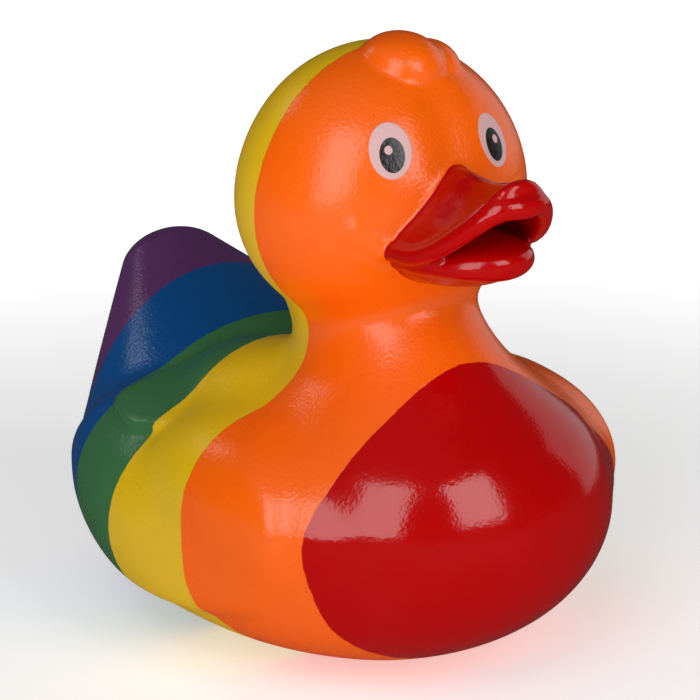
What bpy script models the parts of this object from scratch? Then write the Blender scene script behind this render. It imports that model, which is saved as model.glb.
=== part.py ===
"""Rubber bath duck, moulded in one piece as a hollow shell and painted in bands.

The duck stands on a flat base at z = 0 and faces -Y. +X is the duck's own left.
Its right side is the mirror of its left, but for one lock of the tuft.
"""
import math

import bmesh
import bpy
import numpy as np
from mathutils import Matrix

MM = 0.001

# Shell
WALL = 2.0 * MM
VENT_DIAMETER = 3.0 * MM
BASE_EDGE_ROUND = 1.0 * MM

# Hull
BELLY_CENTRE = (0.0, -2.4 * MM, 17.2 * MM)
BELLY_RADII = (30.8 * MM, 34.6 * MM, 18.6 * MM)
CHEST_CENTRE = (0.0, -18.6 * MM, 21.8 * MM)
CHEST_RADII = (24.2 * MM, 24.0 * MM, 17.3 * MM)
HULL_BLEND = 11.2 * MM

# Wings, stated for the left side and mirrored
LOWER_WING_CENTRE = (15.2 * MM, 6.0 * MM, 18.2 * MM)
LOWER_WING_RADII = (16.3 * MM, 25.3 * MM, 13.5 * MM)
LOWER_WING_PITCH = 8.4
LOWER_WING_YAW = 13.3
UPPER_WING_CENTRE = (8.2 * MM, 0.5 * MM, 23.1 * MM)
UPPER_WING_RADII = (14.5 * MM, 19.6 * MM, 14.7 * MM)
UPPER_WING_PITCH = 0.0
UPPER_WING_YAW = 9.4
SHOULDER_CENTRE = (17.4 * MM, -13.1 * MM, 22.4 * MM)
SHOULDER_RADII = (12.8 * MM, 20.0 * MM, 11.6 * MM)
SHOULDER_PITCH = 3.9
SHOULDER_YAW = -7.1
FEATHER_BLEND = 2.0 * MM
SHOULDER_BLEND = 4.0 * MM
WING_BLEND = 1.8 * MM

# Ledges of the wings, as lines in the side view (y, z)
FEATHER_LINE = [(17.0, 31.2), (15.0, 29.2), (11.0, 28.4), (7.1, 28.2), (2.5, 29.0), (-0.5, 30.2)]
FEATHER_STEP = 0.8 * MM
FEATHER_REACH = 3.0 * MM
WING_LINE = [(11.3, 34.4), (20.0, 27.1), (24.1, 17.9), (15.3, 10.4), (-1.7, 8.5), (-18.2, 10.9),
             (-25.5, 18.4), (-24.6, 27.1), (-17.4, 32.7), (-12.7, 34.4)]
WING_STEP = 0.55 * MM
WING_REACH = 4.5 * MM

# Tail
TAIL_ROOT = (0.0, 19.6 * MM, 19.7 * MM)
TAIL_ROOT_RADIUS = 17.4 * MM
TAIL_TIP = (0.0, 36.9 * MM, 37.6 * MM)
TAIL_TIP_RADIUS = 5.8 * MM
TAIL_SPREAD = 1.39
TAIL_BLEND = 3.5 * MM

# Neck and head
NECK_LOW = (0.0, -18.9 * MM, 33.7 * MM)
NECK_HIGH = (0.0, -9.4 * MM, 47.0 * MM)
NECK_RADIUS = 10.9 * MM
NECK_BLEND = 11.0 * MM
HEAD_CENTRE = (0.0, -11.0 * MM, 59.9 * MM)
HEAD_RADII = (18.4 * MM, 16.0 * MM, 17.9 * MM)
HEAD_BLEND = 4.2 * MM
CHEEK_CENTRE = (7.4 * MM, -11.2 * MM, 57.8 * MM)
CHEEK_RADIUS = 10.7 * MM
CHEEK_BLEND = 6.0 * MM
BROW_VALLEY_DEPTH = 0.7 * MM
BROW_VALLEY_WIDTH = 3.2 * MM

# Folds of the cheek behind the corner of the mouth, stated for the left side and mirrored
SMILE_FOLD_HIGH = (11.6 * MM, -22.2 * MM, 58.2 * MM)
SMILE_FOLD_LOW = (9.2 * MM, -23.5 * MM, 56.0 * MM)
SMILE_FOLD_RADII = (1.5 * MM, 1.7 * MM)
CHIN_FOLD_HIGH = (10.9 * MM, -22.5 * MM, 55.1 * MM)
CHIN_FOLD_LOW = (8.1 * MM, -23.5 * MM, 53.6 * MM)
CHIN_FOLD_RADIUS = 0.9 * MM
FOLD_BLEND = 2.0 * MM

# Tuft of two locks
TUFT_CENTRE = (0.1 * MM, -14.9 * MM, 75.6 * MM)
TUFT_RADII = (5.2 * MM, 5.5 * MM, 3.9 * MM)
TUFT_PITCH = 8.0
SIDE_LOCK_CENTRE = (4.9 * MM, -14.2 * MM, 74.5 * MM)
SIDE_LOCK_RADII = (3.7 * MM, 5.0 * MM, 3.3 * MM)
SIDE_LOCK_PITCH = 8.0
SIDE_LOCK_YAW = -14.0
TUFT_BLEND = 0.7 * MM
LOCK_BLEND = 0.5 * MM

# Upper bill
UPPER_BILL_HALF_WIDTH = 9.9 * MM
UPPER_BILL_ROOT_Y = -24.3 * MM
UPPER_BILL_LENGTH = 16.2 * MM
UPPER_RIM_CORNER_Z = 55.8 * MM
UPPER_RIM_TIP_Z = 62.9 * MM
UPPER_RIM_CORNER_RADIUS = 1.05 * MM
UPPER_RIM_TIP_RADIUS = 1.4 * MM
UPPER_RIM_CLIMB = (13.0, 64.0, 30.0)
CREST_HALF_WIDTH = 9.4 * MM
CREST_LENGTH = 15.0 * MM
CREST_CORNER_Z = 55.9 * MM
CREST_TIP_Z = 65.2 * MM
CREST_CORNER_RADIUS = 0.7 * MM
CREST_TIP_RADIUS = 0.8 * MM
CREST_CLIMB = (12.0, 75.0, 48.0)
UPPER_BILL_THICKNESS = 1.6 * MM
UPPER_BILL_RIDGE = [(-22.5, 65.6), (-25.5, 65.1), (-28.5, 65.1), (-31.5, 64.5), (-34.5, 64.8),
                    (-37.5, 65.7), (-40.5, 65.4)]
RIDGE_SMOOTHING = 1.4 * MM
BILL_BACK_Y = -16.5 * MM

# Lower bill
LOWER_BILL_HALF_WIDTH = 8.7 * MM
LOWER_BILL_ROOT_Y = -23.8 * MM
LOWER_BILL_LENGTH = 13.8 * MM
LOWER_RIM_CORNER_Z = 54.6 * MM
LOWER_RIM_TIP_Z = 55.0 * MM
LOWER_RIM_CORNER_RADIUS = 1.0 * MM
LOWER_RIM_TIP_RADIUS = 1.7 * MM
LOWER_RIM_CLIMB = (15.0, 60.0, 15.0)
LOWER_BILL_DEPTH = 4.7 * MM
LOWER_BILL_PITCH = -2.5
TONGUE_HEIGHT = 2.8 * MM
TONGUE_PITCH = -4.0
BILL_BLEND = 0.8 * MM
MOUTH_BACK_CENTRE = (0.0, LOWER_BILL_ROOT_Y + 1.0 * MM, LOWER_RIM_CORNER_Z + 2.6 * MM)
MOUTH_BACK_RADII = (8.0 * MM, 5.5 * MM, 5.0 * MM)
MOUTH_BACK_PITCH = -20.0
BILL_ZONE_Y = -12.5 * MM
BILL_ZONE_LOW_Z = 46.0 * MM
BILL_ZONE_HIGH_Z = 71.0 * MM

# Paint bands, as planes across the duck's length
RED_ORANGE_Y = -28.3 * MM
ORANGE_YELLOW_Y = -11.4 * MM
YELLOW_GREEN_Y = 2.9 * MM
GREEN_BLUE_Y = 15.2 * MM
BLUE_VIOLET_Y = 27.2 * MM
CHEST_PAINT_TOP_Z = 44.0 * MM
HEAD_PAINT_LOW_Z = 46.0 * MM

# Eyes, printed on the front of the head, each a little off its true place
LEFT_EYE_X = 7.15 * MM
LEFT_EYE_Z = 66.95 * MM
RIGHT_EYE_X = -7.9 * MM
RIGHT_EYE_Z = 67.6 * MM
EYE_WIDTH = 5.2 * MM
EYE_HEIGHT = 6.3 * MM
PUPIL_WIDTH = 3.1 * MM
PUPIL_HEIGHT = 3.95 * MM
PUPIL_DROP = 0.45 * MM
PUPIL_INWARD = 0.15 * MM
GLINT_DIAMETER = 0.98 * MM
GLINT_OUTWARD = 0.27 * MM
GLINT_RISE = 0.15 * MM
EYE_TURN = 22.0

# Mesh
ROUGH_CELL = 0.7 * MM
OUTER_TRIANGLES = 8600
INNER_TRIANGLES = 1800
DETAIL_REACH = 5.0 * MM
DETAIL_WEIGHT = 0.000004
EDGE_SNAP = 0.15
EYE_GRAIN = 0.9 * MM
GLINT_GRAIN = 0.42 * MM
SLIVER_AREA = 0.0002 * MM * MM

COLOURS = {
    "paint_orange": ((0.80, 0.13, 0.004), 0.30),
    "paint_red": ((0.42, 0.004, 0.006), 0.25),
    "vinyl_yellow": ((0.66, 0.37, 0.004), 0.45),
    "paint_green": ((0.035, 0.11, 0.045), 0.30),
    "paint_blue": ((0.004, 0.045, 0.16), 0.30),
    "paint_violet": ((0.095, 0.035, 0.12), 0.30),
    "print_white": ((0.62, 0.40, 0.39), 0.40),
    "print_black": ((0.012, 0.010, 0.010), 0.40),
}


def make_material(name, colour, roughness):
    material = bpy.data.materials.new(name)
    material.use_nodes = True
    shader = material.node_tree.nodes["Principled BSDF"]
    shader.inputs["Base Color"].default_value = (*colour, 1.0)
    shader.inputs["Roughness"].default_value = roughness
    material.diffuse_color = (*colour, 1.0)
    return material


# Blended surface

def turned(points, centre, pitch, yaw):
    x, y, z = (points[i] - centre[i] for i in range(3))
    c, s = math.cos(math.radians(yaw)), math.sin(math.radians(yaw))
    x, y = x * c + y * s, -x * s + y * c
    c, s = math.cos(math.radians(pitch)), math.sin(math.radians(pitch))
    return x, y * c + z * s, -y * s + z * c


def lobe(points, centre, radii, pitch=0.0, yaw=0.0):
    x, y, z = turned(points, centre, pitch, yaw)
    rx, ry, rz = radii
    near = np.sqrt((x / rx) ** 2 + (y / ry) ** 2 + (z / rz) ** 2)
    steep = np.sqrt((x / rx ** 2) ** 2 + (y / ry ** 2) ** 2 + (z / rz ** 2) ** 2)
    return near * (near - 1.0) / np.maximum(steep, 1e-3)


def limb(points, start, end, start_radius, end_radius, spread=1.0):
    ax, ay, az = (end[i] - start[i] for i in range(3))
    px, py, pz = (points[i] - start[i] for i in range(3))
    px = px / spread
    length = math.sqrt(ax * ax + ay * ay + az * az)
    along = (px * ax + py * ay + pz * az) / length
    off = np.sqrt(np.maximum(px * px + py * py + pz * pz - along * along, 0.0))
    slope = (start_radius - end_radius) / length
    level = math.sqrt(1.0 - slope * slope)
    where = level * along - slope * off
    side = off * level + along * slope - start_radius
    side = np.where(where < 0.0, np.hypot(off, along) - start_radius, side)
    return np.where(where > level * length, np.hypot(off, along - length) - end_radius, side)


def blend(a, b, width):
    near = np.maximum(width - np.abs(a - b), 0.0) / width
    return np.minimum(a, b) - near ** 3 * width / 6.0


def meet(a, b, width):
    return -blend(-a, -b, width)


def ease(t):
    t = np.clip(t, 0.0, 1.0)
    return t * t * (3.0 - 2.0 * t)


def curve_through(corners, steps=5):
    points = [np.array(c) * MM for c in corners]
    points = [2 * points[0] - points[1]] + points + [2 * points[-1] - points[-2]]
    out = []
    for a, b, c, d in zip(points[:-3], points[1:-2], points[2:-1], points[3:]):
        for i in range(steps):
            t = i / steps
            out.append(0.5 * (2 * b + (c - a) * t + (2 * a - 5 * b + 4 * c - d) * t ** 2
                              + (3 * b - a - 3 * c + d) * t ** 3))
    out.append(points[-2])
    return out


def ledge(y, z, line, height, reach, soft, fade):
    best = np.full(y.shape, 1.0)
    sign = np.ones(y.shape)
    where = np.zeros(y.shape)
    total = sum(float(np.hypot(*(b - a))) for a, b in zip(line[:-1], line[1:]))
    done = 0.0
    for a, b in zip(line[:-1], line[1:]):
        size = float(np.hypot(*(b - a)))
        ey, ez = (b - a) / size
        t = np.clip((y - a[0]) * ey + (z - a[1]) * ez, 0.0, size)
        gap = np.hypot(y - a[0] - ey * t, z - a[1] - ez * t)
        nearer = gap < best
        best = np.where(nearer, gap, best)
        sign = np.where(nearer, np.where(ey * (z - a[1]) - ez * (y - a[0]) > 0.0, 1.0, -1.0), sign)
        where = np.where(nearer, (done + t) / total, where)
        done += size
    step = np.tanh(best * sign / soft) * np.exp(-best / reach)
    return height * step * ease(where / fade) * ease((1.0 - where) / fade)


FEATHER_CURVE = curve_through(FEATHER_LINE)
WING_CURVE = curve_through(WING_LINE)


def hull_surface(p):
    x, y, z = p
    m = (np.abs(x), y, z)
    d = blend(lobe(p, BELLY_CENTRE, BELLY_RADII), lobe(p, CHEST_CENTRE, CHEST_RADII), HULL_BLEND)
    d = blend(d, limb(p, TAIL_ROOT, TAIL_TIP, TAIL_ROOT_RADIUS, TAIL_TIP_RADIUS, TAIL_SPREAD), TAIL_BLEND)
    lower = lobe(m, LOWER_WING_CENTRE, LOWER_WING_RADII, LOWER_WING_PITCH, LOWER_WING_YAW)
    upper = lobe(m, UPPER_WING_CENTRE, UPPER_WING_RADII, UPPER_WING_PITCH, UPPER_WING_YAW)
    shoulder = lobe(m, SHOULDER_CENTRE, SHOULDER_RADII, SHOULDER_PITCH, SHOULDER_YAW)
    wing = blend(blend(lower, upper, FEATHER_BLEND), shoulder, SHOULDER_BLEND)
    d = blend(d, wing, WING_BLEND)
    side = ease((m[0] - 8.0 * MM) / (6.0 * MM))
    d = d + side * ledge(y, z, FEATHER_CURVE, FEATHER_STEP, FEATHER_REACH, 0.8 * MM, 0.2)
    return d + side * ledge(y, z, WING_CURVE, WING_STEP, WING_REACH, 1.0 * MM, 0.12)


def head_surface(p):
    x, y, z = p
    m = (np.abs(x), y, z)
    cheek = lobe(m, CHEEK_CENTRE, (CHEEK_RADIUS, CHEEK_RADIUS, CHEEK_RADIUS))
    d = blend(lobe(p, HEAD_CENTRE, HEAD_RADII), cheek, CHEEK_BLEND)
    front = ease((-13.7 * MM - y) / (8.0 * MM))
    band = ease((z - 62.0 * MM) / (4.0 * MM)) * ease((76.0 * MM - z) / (4.0 * MM))
    return d + BROW_VALLEY_DEPTH * np.exp(-(x / BROW_VALLEY_WIDTH) ** 2) * front * band


def cheek_folds(p):
    m = (np.abs(p[0]), p[1], p[2])
    smile = limb(m, SMILE_FOLD_HIGH, SMILE_FOLD_LOW, *SMILE_FOLD_RADII)
    return np.minimum(smile, limb(m, CHIN_FOLD_HIGH, CHIN_FOLD_LOW, CHIN_FOLD_RADIUS, CHIN_FOLD_RADIUS))


def rim_climb(angle, climb):
    return ease((angle - climb[0]) / climb[1])


def rim_points(half_width, root_y, length, corner_z, tip_z, corner_radius, tip_radius, climb, steps=14):
    points = []
    for i in range(steps + 1):
        angle = math.radians(90.0 * i / steps)
        rise = float(rim_climb(90.0 * i / steps, climb))
        swell = float(ease((90.0 * i / steps - climb[2]) / (90.0 - climb[2])))
        radius = corner_radius + (tip_radius - corner_radius) * swell
        points.append(((half_width - radius) * math.cos(angle),
                       root_y - (length - radius) * math.sin(angle),
                       corner_z + (tip_z - corner_z) * rise, radius))
    return points


UPPER_RIM = rim_points(UPPER_BILL_HALF_WIDTH, UPPER_BILL_ROOT_Y, UPPER_BILL_LENGTH, UPPER_RIM_CORNER_Z,
                       UPPER_RIM_TIP_Z, UPPER_RIM_CORNER_RADIUS, UPPER_RIM_TIP_RADIUS, UPPER_RIM_CLIMB)
CREST = rim_points(CREST_HALF_WIDTH, UPPER_BILL_ROOT_Y, CREST_LENGTH, CREST_CORNER_Z, CREST_TIP_Z,
                   CREST_CORNER_RADIUS, CREST_TIP_RADIUS, CREST_CLIMB)
LOWER_RIM = rim_points(LOWER_BILL_HALF_WIDTH, LOWER_BILL_ROOT_Y, LOWER_BILL_LENGTH, LOWER_RIM_CORNER_Z,
                       LOWER_RIM_TIP_Z, LOWER_RIM_CORNER_RADIUS, LOWER_RIM_TIP_RADIUS, LOWER_RIM_CLIMB)


def rim_surface(p, rim):
    m = (np.abs(p[0]), p[1], p[2])
    d = None
    for a, b in zip(rim[:-1], rim[1:]):
        part = limb(m, a[:3], b[:3], a[3], b[3])
        d = part if d is None else np.minimum(d, part)
    return d


def bill_top(x, y):
    s = np.clip((UPPER_BILL_ROOT_Y - y) / UPPER_BILL_LENGTH, 0.0, 0.9999)
    rise = rim_climb(np.degrees(np.arcsin(s)), CREST_CLIMB)
    edge = CREST_CORNER_Z + (CREST_TIP_Z - CREST_CORNER_Z) * rise - 0.2 * MM
    along, height = np.array(UPPER_BILL_RIDGE).T * MM
    shifts = np.linspace(-RIDGE_SMOOTHING, RIDGE_SMOOTHING, 5)
    ridge = np.mean([np.interp(shift - y, -along, height) for shift in shifts], axis=0)
    half = np.maximum(UPPER_BILL_HALF_WIDTH * np.sqrt(1.0 - s * s) - 1.6 * MM, 1.2 * MM)
    across = np.clip((np.hypot(x, 2.0 * MM) - 2.0 * MM) / half, 0.0, 1.3)
    return ridge + (edge - ridge) * across, np.sqrt(1.0 + ((edge - ridge) / half) ** 2)


def upper_bill_surface(p):
    x, y, z = p
    top, steep = bill_top(x, y)
    slab = meet((z - top) / steep, (top - UPPER_BILL_THICKNESS - z) / steep, 1.0 * MM)
    ahead = np.minimum(y - UPPER_BILL_ROOT_Y, 0.0) / UPPER_BILL_LENGTH
    plan = (np.hypot(x / UPPER_BILL_HALF_WIDTH, ahead) - 1.0) * 9.0 * MM
    slab = meet(slab, plan + 1.2 * MM, 1.0 * MM)
    slab = meet(slab, y - BILL_BACK_Y, 1.0 * MM)
    return blend(slab, blend(rim_surface(p, UPPER_RIM), rim_surface(p, CREST), 1.2 * MM), 1.0 * MM)


def lower_bill_surface(p):
    x, y, z = p
    half, root, length = LOWER_BILL_HALF_WIDTH, LOWER_BILL_ROOT_Y, LOWER_BILL_LENGTH
    boat = lobe(p, (0.0, root - 0.5 * MM, LOWER_RIM_CORNER_Z + 0.6 * MM),
                (half - 0.4 * MM, length - 1.2 * MM, LOWER_BILL_DEPTH), LOWER_BILL_PITCH)
    rise = (LOWER_RIM_TIP_Z - LOWER_RIM_CORNER_Z) * ease((root - y) / length)
    boat = meet(boat, z - (LOWER_RIM_CORNER_Z + 0.4 * MM + rise), 1.0 * MM)
    tongue = lobe(p, (0.0, root - 1.0 * MM, LOWER_RIM_CORNER_Z + 0.3 * MM),
                  (half - 0.9 * MM, length - 1.0 * MM, TONGUE_HEIGHT), TONGUE_PITCH)
    return blend(blend(boat, rim_surface(p, LOWER_RIM), 1.0 * MM), tongue, 0.6 * MM)


def beak_surface(p):
    near = (p[1] < BILL_ZONE_Y) & (p[2] > BILL_ZONE_LOW_Z) & (p[2] < BILL_ZONE_HIGH_Z)
    out = np.full(p[0].shape, 10.0 * MM)
    q = (p[0][near], p[1][near], p[2][near])
    d = blend(upper_bill_surface(q), lower_bill_surface(q), 0.5 * MM)
    out[near] = blend(d, lobe(q, MOUTH_BACK_CENTRE, MOUTH_BACK_RADII, MOUTH_BACK_PITCH), 0.8 * MM)
    return out


def tuft_surface(p):
    lock = lobe(p, TUFT_CENTRE, TUFT_RADII, TUFT_PITCH)
    side = lobe(p, SIDE_LOCK_CENTRE, SIDE_LOCK_RADII, SIDE_LOCK_PITCH, SIDE_LOCK_YAW)
    return blend(lock, side, LOCK_BLEND)


def plain_surface(p):
    neck = limb(p, NECK_LOW, NECK_HIGH, NECK_RADIUS, NECK_RADIUS - 0.01 * MM)
    head = blend(blend(neck, head_surface(p), HEAD_BLEND), cheek_folds(p), FOLD_BLEND)
    return blend(hull_surface(p), head, NECK_BLEND)


def skin_surface(p):
    return blend(plain_surface(p), tuft_surface(p), TUFT_BLEND)


def outer_surface(p):
    d = blend(skin_surface(p), beak_surface(p), BILL_BLEND)
    return meet(d, -p[2], BASE_EDGE_ROUND)


def inner_surface(p):
    return meet(plain_surface(p), -p[2], BASE_EDGE_ROUND) + WALL


# Rough masses

def add_ball(bm, centre, radii, pitch=0.0, yaw=0.0, mirror=False, grow=0.0):
    for side in ((1.0, -1.0) if mirror else (1.0,)):
        yawed = Matrix.Rotation(math.radians(yaw) * side, 4, "Z")
        turn = yawed @ Matrix.Rotation(math.radians(pitch), 4, "X")
        scale = Matrix.Diagonal((*[r + grow for r in radii], 1.0))
        place = Matrix.Translation((centre[0] * side, centre[1], centre[2]))
        bmesh.ops.create_uvsphere(bm, u_segments=48, v_segments=32, radius=1.0, matrix=place @ turn @ scale)


def add_limb(bm, start, end, start_radius, end_radius, spread=1.0, segments=20):
    verts = []
    for centre, radius in ((start, start_radius), (end, end_radius)):
        scale = Matrix.Diagonal((radius * spread, radius, radius, 1.0))
        made = bmesh.ops.create_uvsphere(bm, u_segments=segments, v_segments=segments // 2 + 2, radius=1.0,
                                         matrix=Matrix.Translation(centre) @ scale)
        verts += made["verts"]
    bmesh.ops.delete(bm, geom=list({f for v in verts for f in v.link_faces}), context="FACES_ONLY")
    hull = bmesh.ops.convex_hull(bm, input=verts)
    spare = [v for v in hull["geom_interior"] + hull["geom_unused"] if isinstance(v, bmesh.types.BMVert)]
    bmesh.ops.delete(bm, geom=list(set(spare)), context="VERTS")


def add_bill_slab(bm):
    made = bmesh.ops.create_grid(bm, x_segments=24, y_segments=24, size=1.0)
    tip_y = UPPER_BILL_ROOT_Y - UPPER_BILL_LENGTH + 1.4 * MM
    for vert in made["verts"]:
        y = BILL_BACK_Y + (tip_y - BILL_BACK_Y) * (1.0 - vert.co.y) / 2.0
        s = min(max((UPPER_BILL_ROOT_Y - y) / (UPPER_BILL_LENGTH - 1.3 * MM), 0.0), 0.97)
        x = vert.co.x * (UPPER_BILL_HALF_WIDTH - 1.3 * MM) * math.sqrt(1.0 - s * s)
        top, _ = bill_top(np.array([x]), np.array([y]))
        vert.co = (x, y, float(top[0]))
    faces = list({f for v in made["verts"] for f in v.link_faces})
    under = bmesh.ops.extrude_face_region(bm, geom=faces, use_keep_orig=True)
    verts = [v for v in under["geom"] if isinstance(v, bmesh.types.BMVert)]
    bmesh.ops.translate(bm, verts=verts, vec=(0.0, 0.0, -UPPER_BILL_THICKNESS))
    shell = list({f for v in made["verts"] + verts for f in v.link_faces})
    bmesh.ops.recalc_face_normals(bm, faces=shell)


def add_plain_masses(bm, grow=0.0):
    add_ball(bm, BELLY_CENTRE, BELLY_RADII, grow=grow)
    add_ball(bm, CHEST_CENTRE, CHEST_RADII, grow=grow)
    add_ball(bm, LOWER_WING_CENTRE, LOWER_WING_RADII, LOWER_WING_PITCH, LOWER_WING_YAW, True, grow)
    add_ball(bm, UPPER_WING_CENTRE, UPPER_WING_RADII, UPPER_WING_PITCH, UPPER_WING_YAW, True, grow)
    add_ball(bm, SHOULDER_CENTRE, SHOULDER_RADII, SHOULDER_PITCH, SHOULDER_YAW, True, grow)
    add_limb(bm, TAIL_ROOT, TAIL_TIP, TAIL_ROOT_RADIUS + grow, TAIL_TIP_RADIUS + grow, TAIL_SPREAD, 40)
    add_limb(bm, NECK_LOW, NECK_HIGH, NECK_RADIUS + 2.0 * MM + grow, NECK_RADIUS + grow, 1.0, 40)
    add_ball(bm, HEAD_CENTRE, HEAD_RADII, grow=grow)
    add_ball(bm, CHEEK_CENTRE, (CHEEK_RADIUS,) * 3, 0.0, 0.0, True, grow)


def add_beak_masses(bm):
    add_bill_slab(bm)
    for rim in (UPPER_RIM, CREST, LOWER_RIM):
        for side in (1.0, -1.0):
            for a, b in zip(rim[:-1], rim[1:]):
                add_limb(bm, (a[0] * side, a[1], a[2]), (b[0] * side, b[1], b[2]), a[3], b[3], 1.0, 12)
    root = LOWER_BILL_ROOT_Y
    add_ball(bm, (0.0, root - 0.5 * MM, LOWER_RIM_CORNER_Z - 1.2 * MM),
             (LOWER_BILL_HALF_WIDTH - 0.8 * MM, LOWER_BILL_LENGTH - 1.6 * MM, 3.2 * MM), LOWER_BILL_PITCH)
    add_ball(bm, (0.0, root - 1.0 * MM, LOWER_RIM_CORNER_Z + 0.3 * MM),
             (LOWER_BILL_HALF_WIDTH - 0.9 * MM, LOWER_BILL_LENGTH - 1.0 * MM, TONGUE_HEIGHT), TONGUE_PITCH)
    add_ball(bm, MOUTH_BACK_CENTRE, MOUTH_BACK_RADII, MOUTH_BACK_PITCH)


# Working the mesh

def new_object(name, bm, collection):
    mesh = bpy.data.meshes.new(name)
    bm.to_mesh(mesh)
    bm.free()
    item = bpy.data.objects.new(name, mesh)
    collection.objects.link(item)
    return item


def apply_modifiers(item):
    depsgraph = bpy.context.evaluated_depsgraph_get()
    mesh = bpy.data.meshes.new_from_object(item.evaluated_get(depsgraph), depsgraph=depsgraph)
    item.modifiers.clear()
    old = item.data
    item.data = mesh
    bpy.data.meshes.remove(old)


def fuse(item, cell):
    remesh = item.modifiers.new("fuse", "REMESH")
    remesh.mode = "VOXEL"
    remesh.voxel_size = cell
    remesh.adaptivity = 0.0
    apply_modifiers(item)


def smooth_mesh(item, repeat, factor=0.5):
    bm = bmesh.new()
    bm.from_mesh(item.data)
    for _ in range(repeat):
        bmesh.ops.smooth_vert(bm, verts=bm.verts, factor=factor, use_axis_x=True, use_axis_y=True,
                              use_axis_z=True)
    bm.to_mesh(item.data)
    bm.free()


def draw_onto(item, surface, rounds=6, most=0.6 * MM):
    count = len(item.data.vertices)
    flat = np.empty(count * 3)
    item.data.vertices.foreach_get("co", flat)
    p = flat.reshape(-1, 3).T.copy()
    h = 0.02 * MM
    for _ in range(rounds):
        d = surface(p)
        grad = np.empty_like(p)
        for axis in range(3):
            step = np.zeros((3, 1))
            step[axis] = h
            grad[axis] = (surface(p + step) - surface(p - step)) / (2.0 * h)
        size = np.maximum((grad ** 2).sum(0), 0.25)
        move = -grad * d / size
        reach = np.sqrt((move ** 2).sum(0))
        move *= np.minimum(1.0, most / np.maximum(reach, 1e-9))
        p += move
    item.data.vertices.foreach_set("co", p.T.reshape(-1))
    item.data.update()
    return float(np.abs(surface(p)).max())


def detail_weights(item):
    count = len(item.data.vertices)
    flat = np.empty(count * 3)
    item.data.vertices.foreach_get("co", flat)
    p = flat.reshape(-1, 3).T
    bill = beak_surface(p) / DETAIL_REACH
    lock = tuft_surface(p) / DETAIL_REACH + 0.2
    away = np.clip(np.minimum(bill, lock), 0.06, 1.0)
    group = item.vertex_groups.new(name="thin out")
    for step in range(1, 21):
        near = np.nonzero(np.ceil(away * 20.0) == step)[0]
        group.add([int(i) for i in near], step / 20.0, "REPLACE")
    return group.name


def thin_out(item, triangles, group=None):
    bm = bmesh.new()
    bm.from_mesh(item.data)
    bmesh.ops.triangulate(bm, faces=bm.faces)
    count = len(bm.faces)
    bm.to_mesh(item.data)
    bm.free()
    decimate = item.modifiers.new("thin out", "DECIMATE")
    decimate.ratio = min(1.0, triangles / count)
    if group:
        decimate.vertex_group = group
        decimate.vertex_group_factor = DETAIL_WEIGHT
    apply_modifiers(item)


def settle_base(item):
    for vert in item.data.vertices:
        if vert.co.z < 0.06 * MM:
            vert.co.z = 0.0


# Paint

def eye_level(p, side, width, height, outward=0.0, rise=0.0):
    eye_x, eye_y, eye_z = EYE_PLACES[side]
    turn = math.radians(EYE_TURN) * side
    u = (p[0] - eye_x) * math.cos(turn) + (p[1] - eye_y) * math.sin(turn) - outward * side
    v = p[2] - eye_z - rise
    return np.hypot(2.0 * u / width, 2.0 * v / height) - 1.0


def white_level(p, side):
    return eye_level(p, side, EYE_WIDTH, EYE_HEIGHT)


def pupil_level(p, side):
    return eye_level(p, side, PUPIL_WIDTH, PUPIL_HEIGHT, -PUPIL_INWARD, -PUPIL_DROP)


def glint_level(p, side):
    return eye_level(p, side, GLINT_DIAMETER, GLINT_DIAMETER, GLINT_OUTWARD, GLINT_RISE)


def on_face(p, side):
    return (p[1] < -14.0 * MM) & (p[2] > 60.0 * MM) & (p[0] * side > 0.0)


def place_on_face(x, z):
    y = np.linspace(-32.0 * MM, -16.0 * MM, 321)
    d = head_surface((np.full(y.shape, x), y, np.full(y.shape, z)))
    return x, float(y[np.argmin(np.abs(d))]), z


EYE_PLACES = {1.0: place_on_face(LEFT_EYE_X, LEFT_EYE_Z), -1.0: place_on_face(RIGHT_EYE_X, RIGHT_EYE_Z)}


def beak_level(p):
    return beak_surface(p) - skin_surface(p) + 0.1 * MM


def round_beak(p):
    return (p[1] < -14.0 * MM) & (p[2] > 48.0 * MM) & (p[2] < 72.0 * MM)


def under_head(p):
    return p[2] < HEAD_PAINT_LOW_Z


def on_chest(p):
    return p[2] < CHEST_PAINT_TOP_Z


def cut_along(bm, level, region):
    verts = list(bm.verts)
    p = np.array([v.co for v in verts]).T
    values = dict(zip(verts, level(p).tolist()))
    inside = dict(zip(verts, region(p).tolist()))
    line = set()
    for edge in list(bm.edges):
        a, b = edge.verts
        if not (inside[a] and inside[b]) or values[a] * values[b] >= 0.0:
            continue
        if abs(values[a]) > abs(values[b]):
            a, b = b, a
        t = values[a] / (values[a] - values[b])
        if t < EDGE_SNAP and a.co.z > 0.1 * MM:
            a.co = a.co.lerp(b.co, t)
            values[a] = 0.0
            line.add(a)
    for edge in list(bm.edges):
        a, b = edge.verts
        if inside[a] and inside[b] and values[a] * values[b] < 0.0:
            _, middle = bmesh.utils.edge_split(edge, a, values[a] / (values[a] - values[b]))
            line.add(middle)
    bmesh.ops.connect_verts(bm, verts=list(line))
    bmesh.ops.triangulate(bm, faces=[f for f in bm.faces if len(f.verts) > 3])


def split_near(bm, level, reach, grain, rounds=3):
    for _ in range(rounds):
        near = set()
        verts = list(bm.verts)
        p = np.array([v.co for v in verts]).T
        for side in (1.0, -1.0):
            inside = on_face(p, side) & (level(p, side) < reach)
            near |= {v for v, kept in zip(verts, inside.tolist()) if kept}
        edges = [e for e in bm.edges if near & set(e.verts) and e.calc_length() > grain]
        bmesh.ops.subdivide_edges(bm, edges=edges, cuts=1)
        bmesh.ops.triangulate(bm, faces=[f for f in bm.faces if len(f.verts) > 3])


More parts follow.
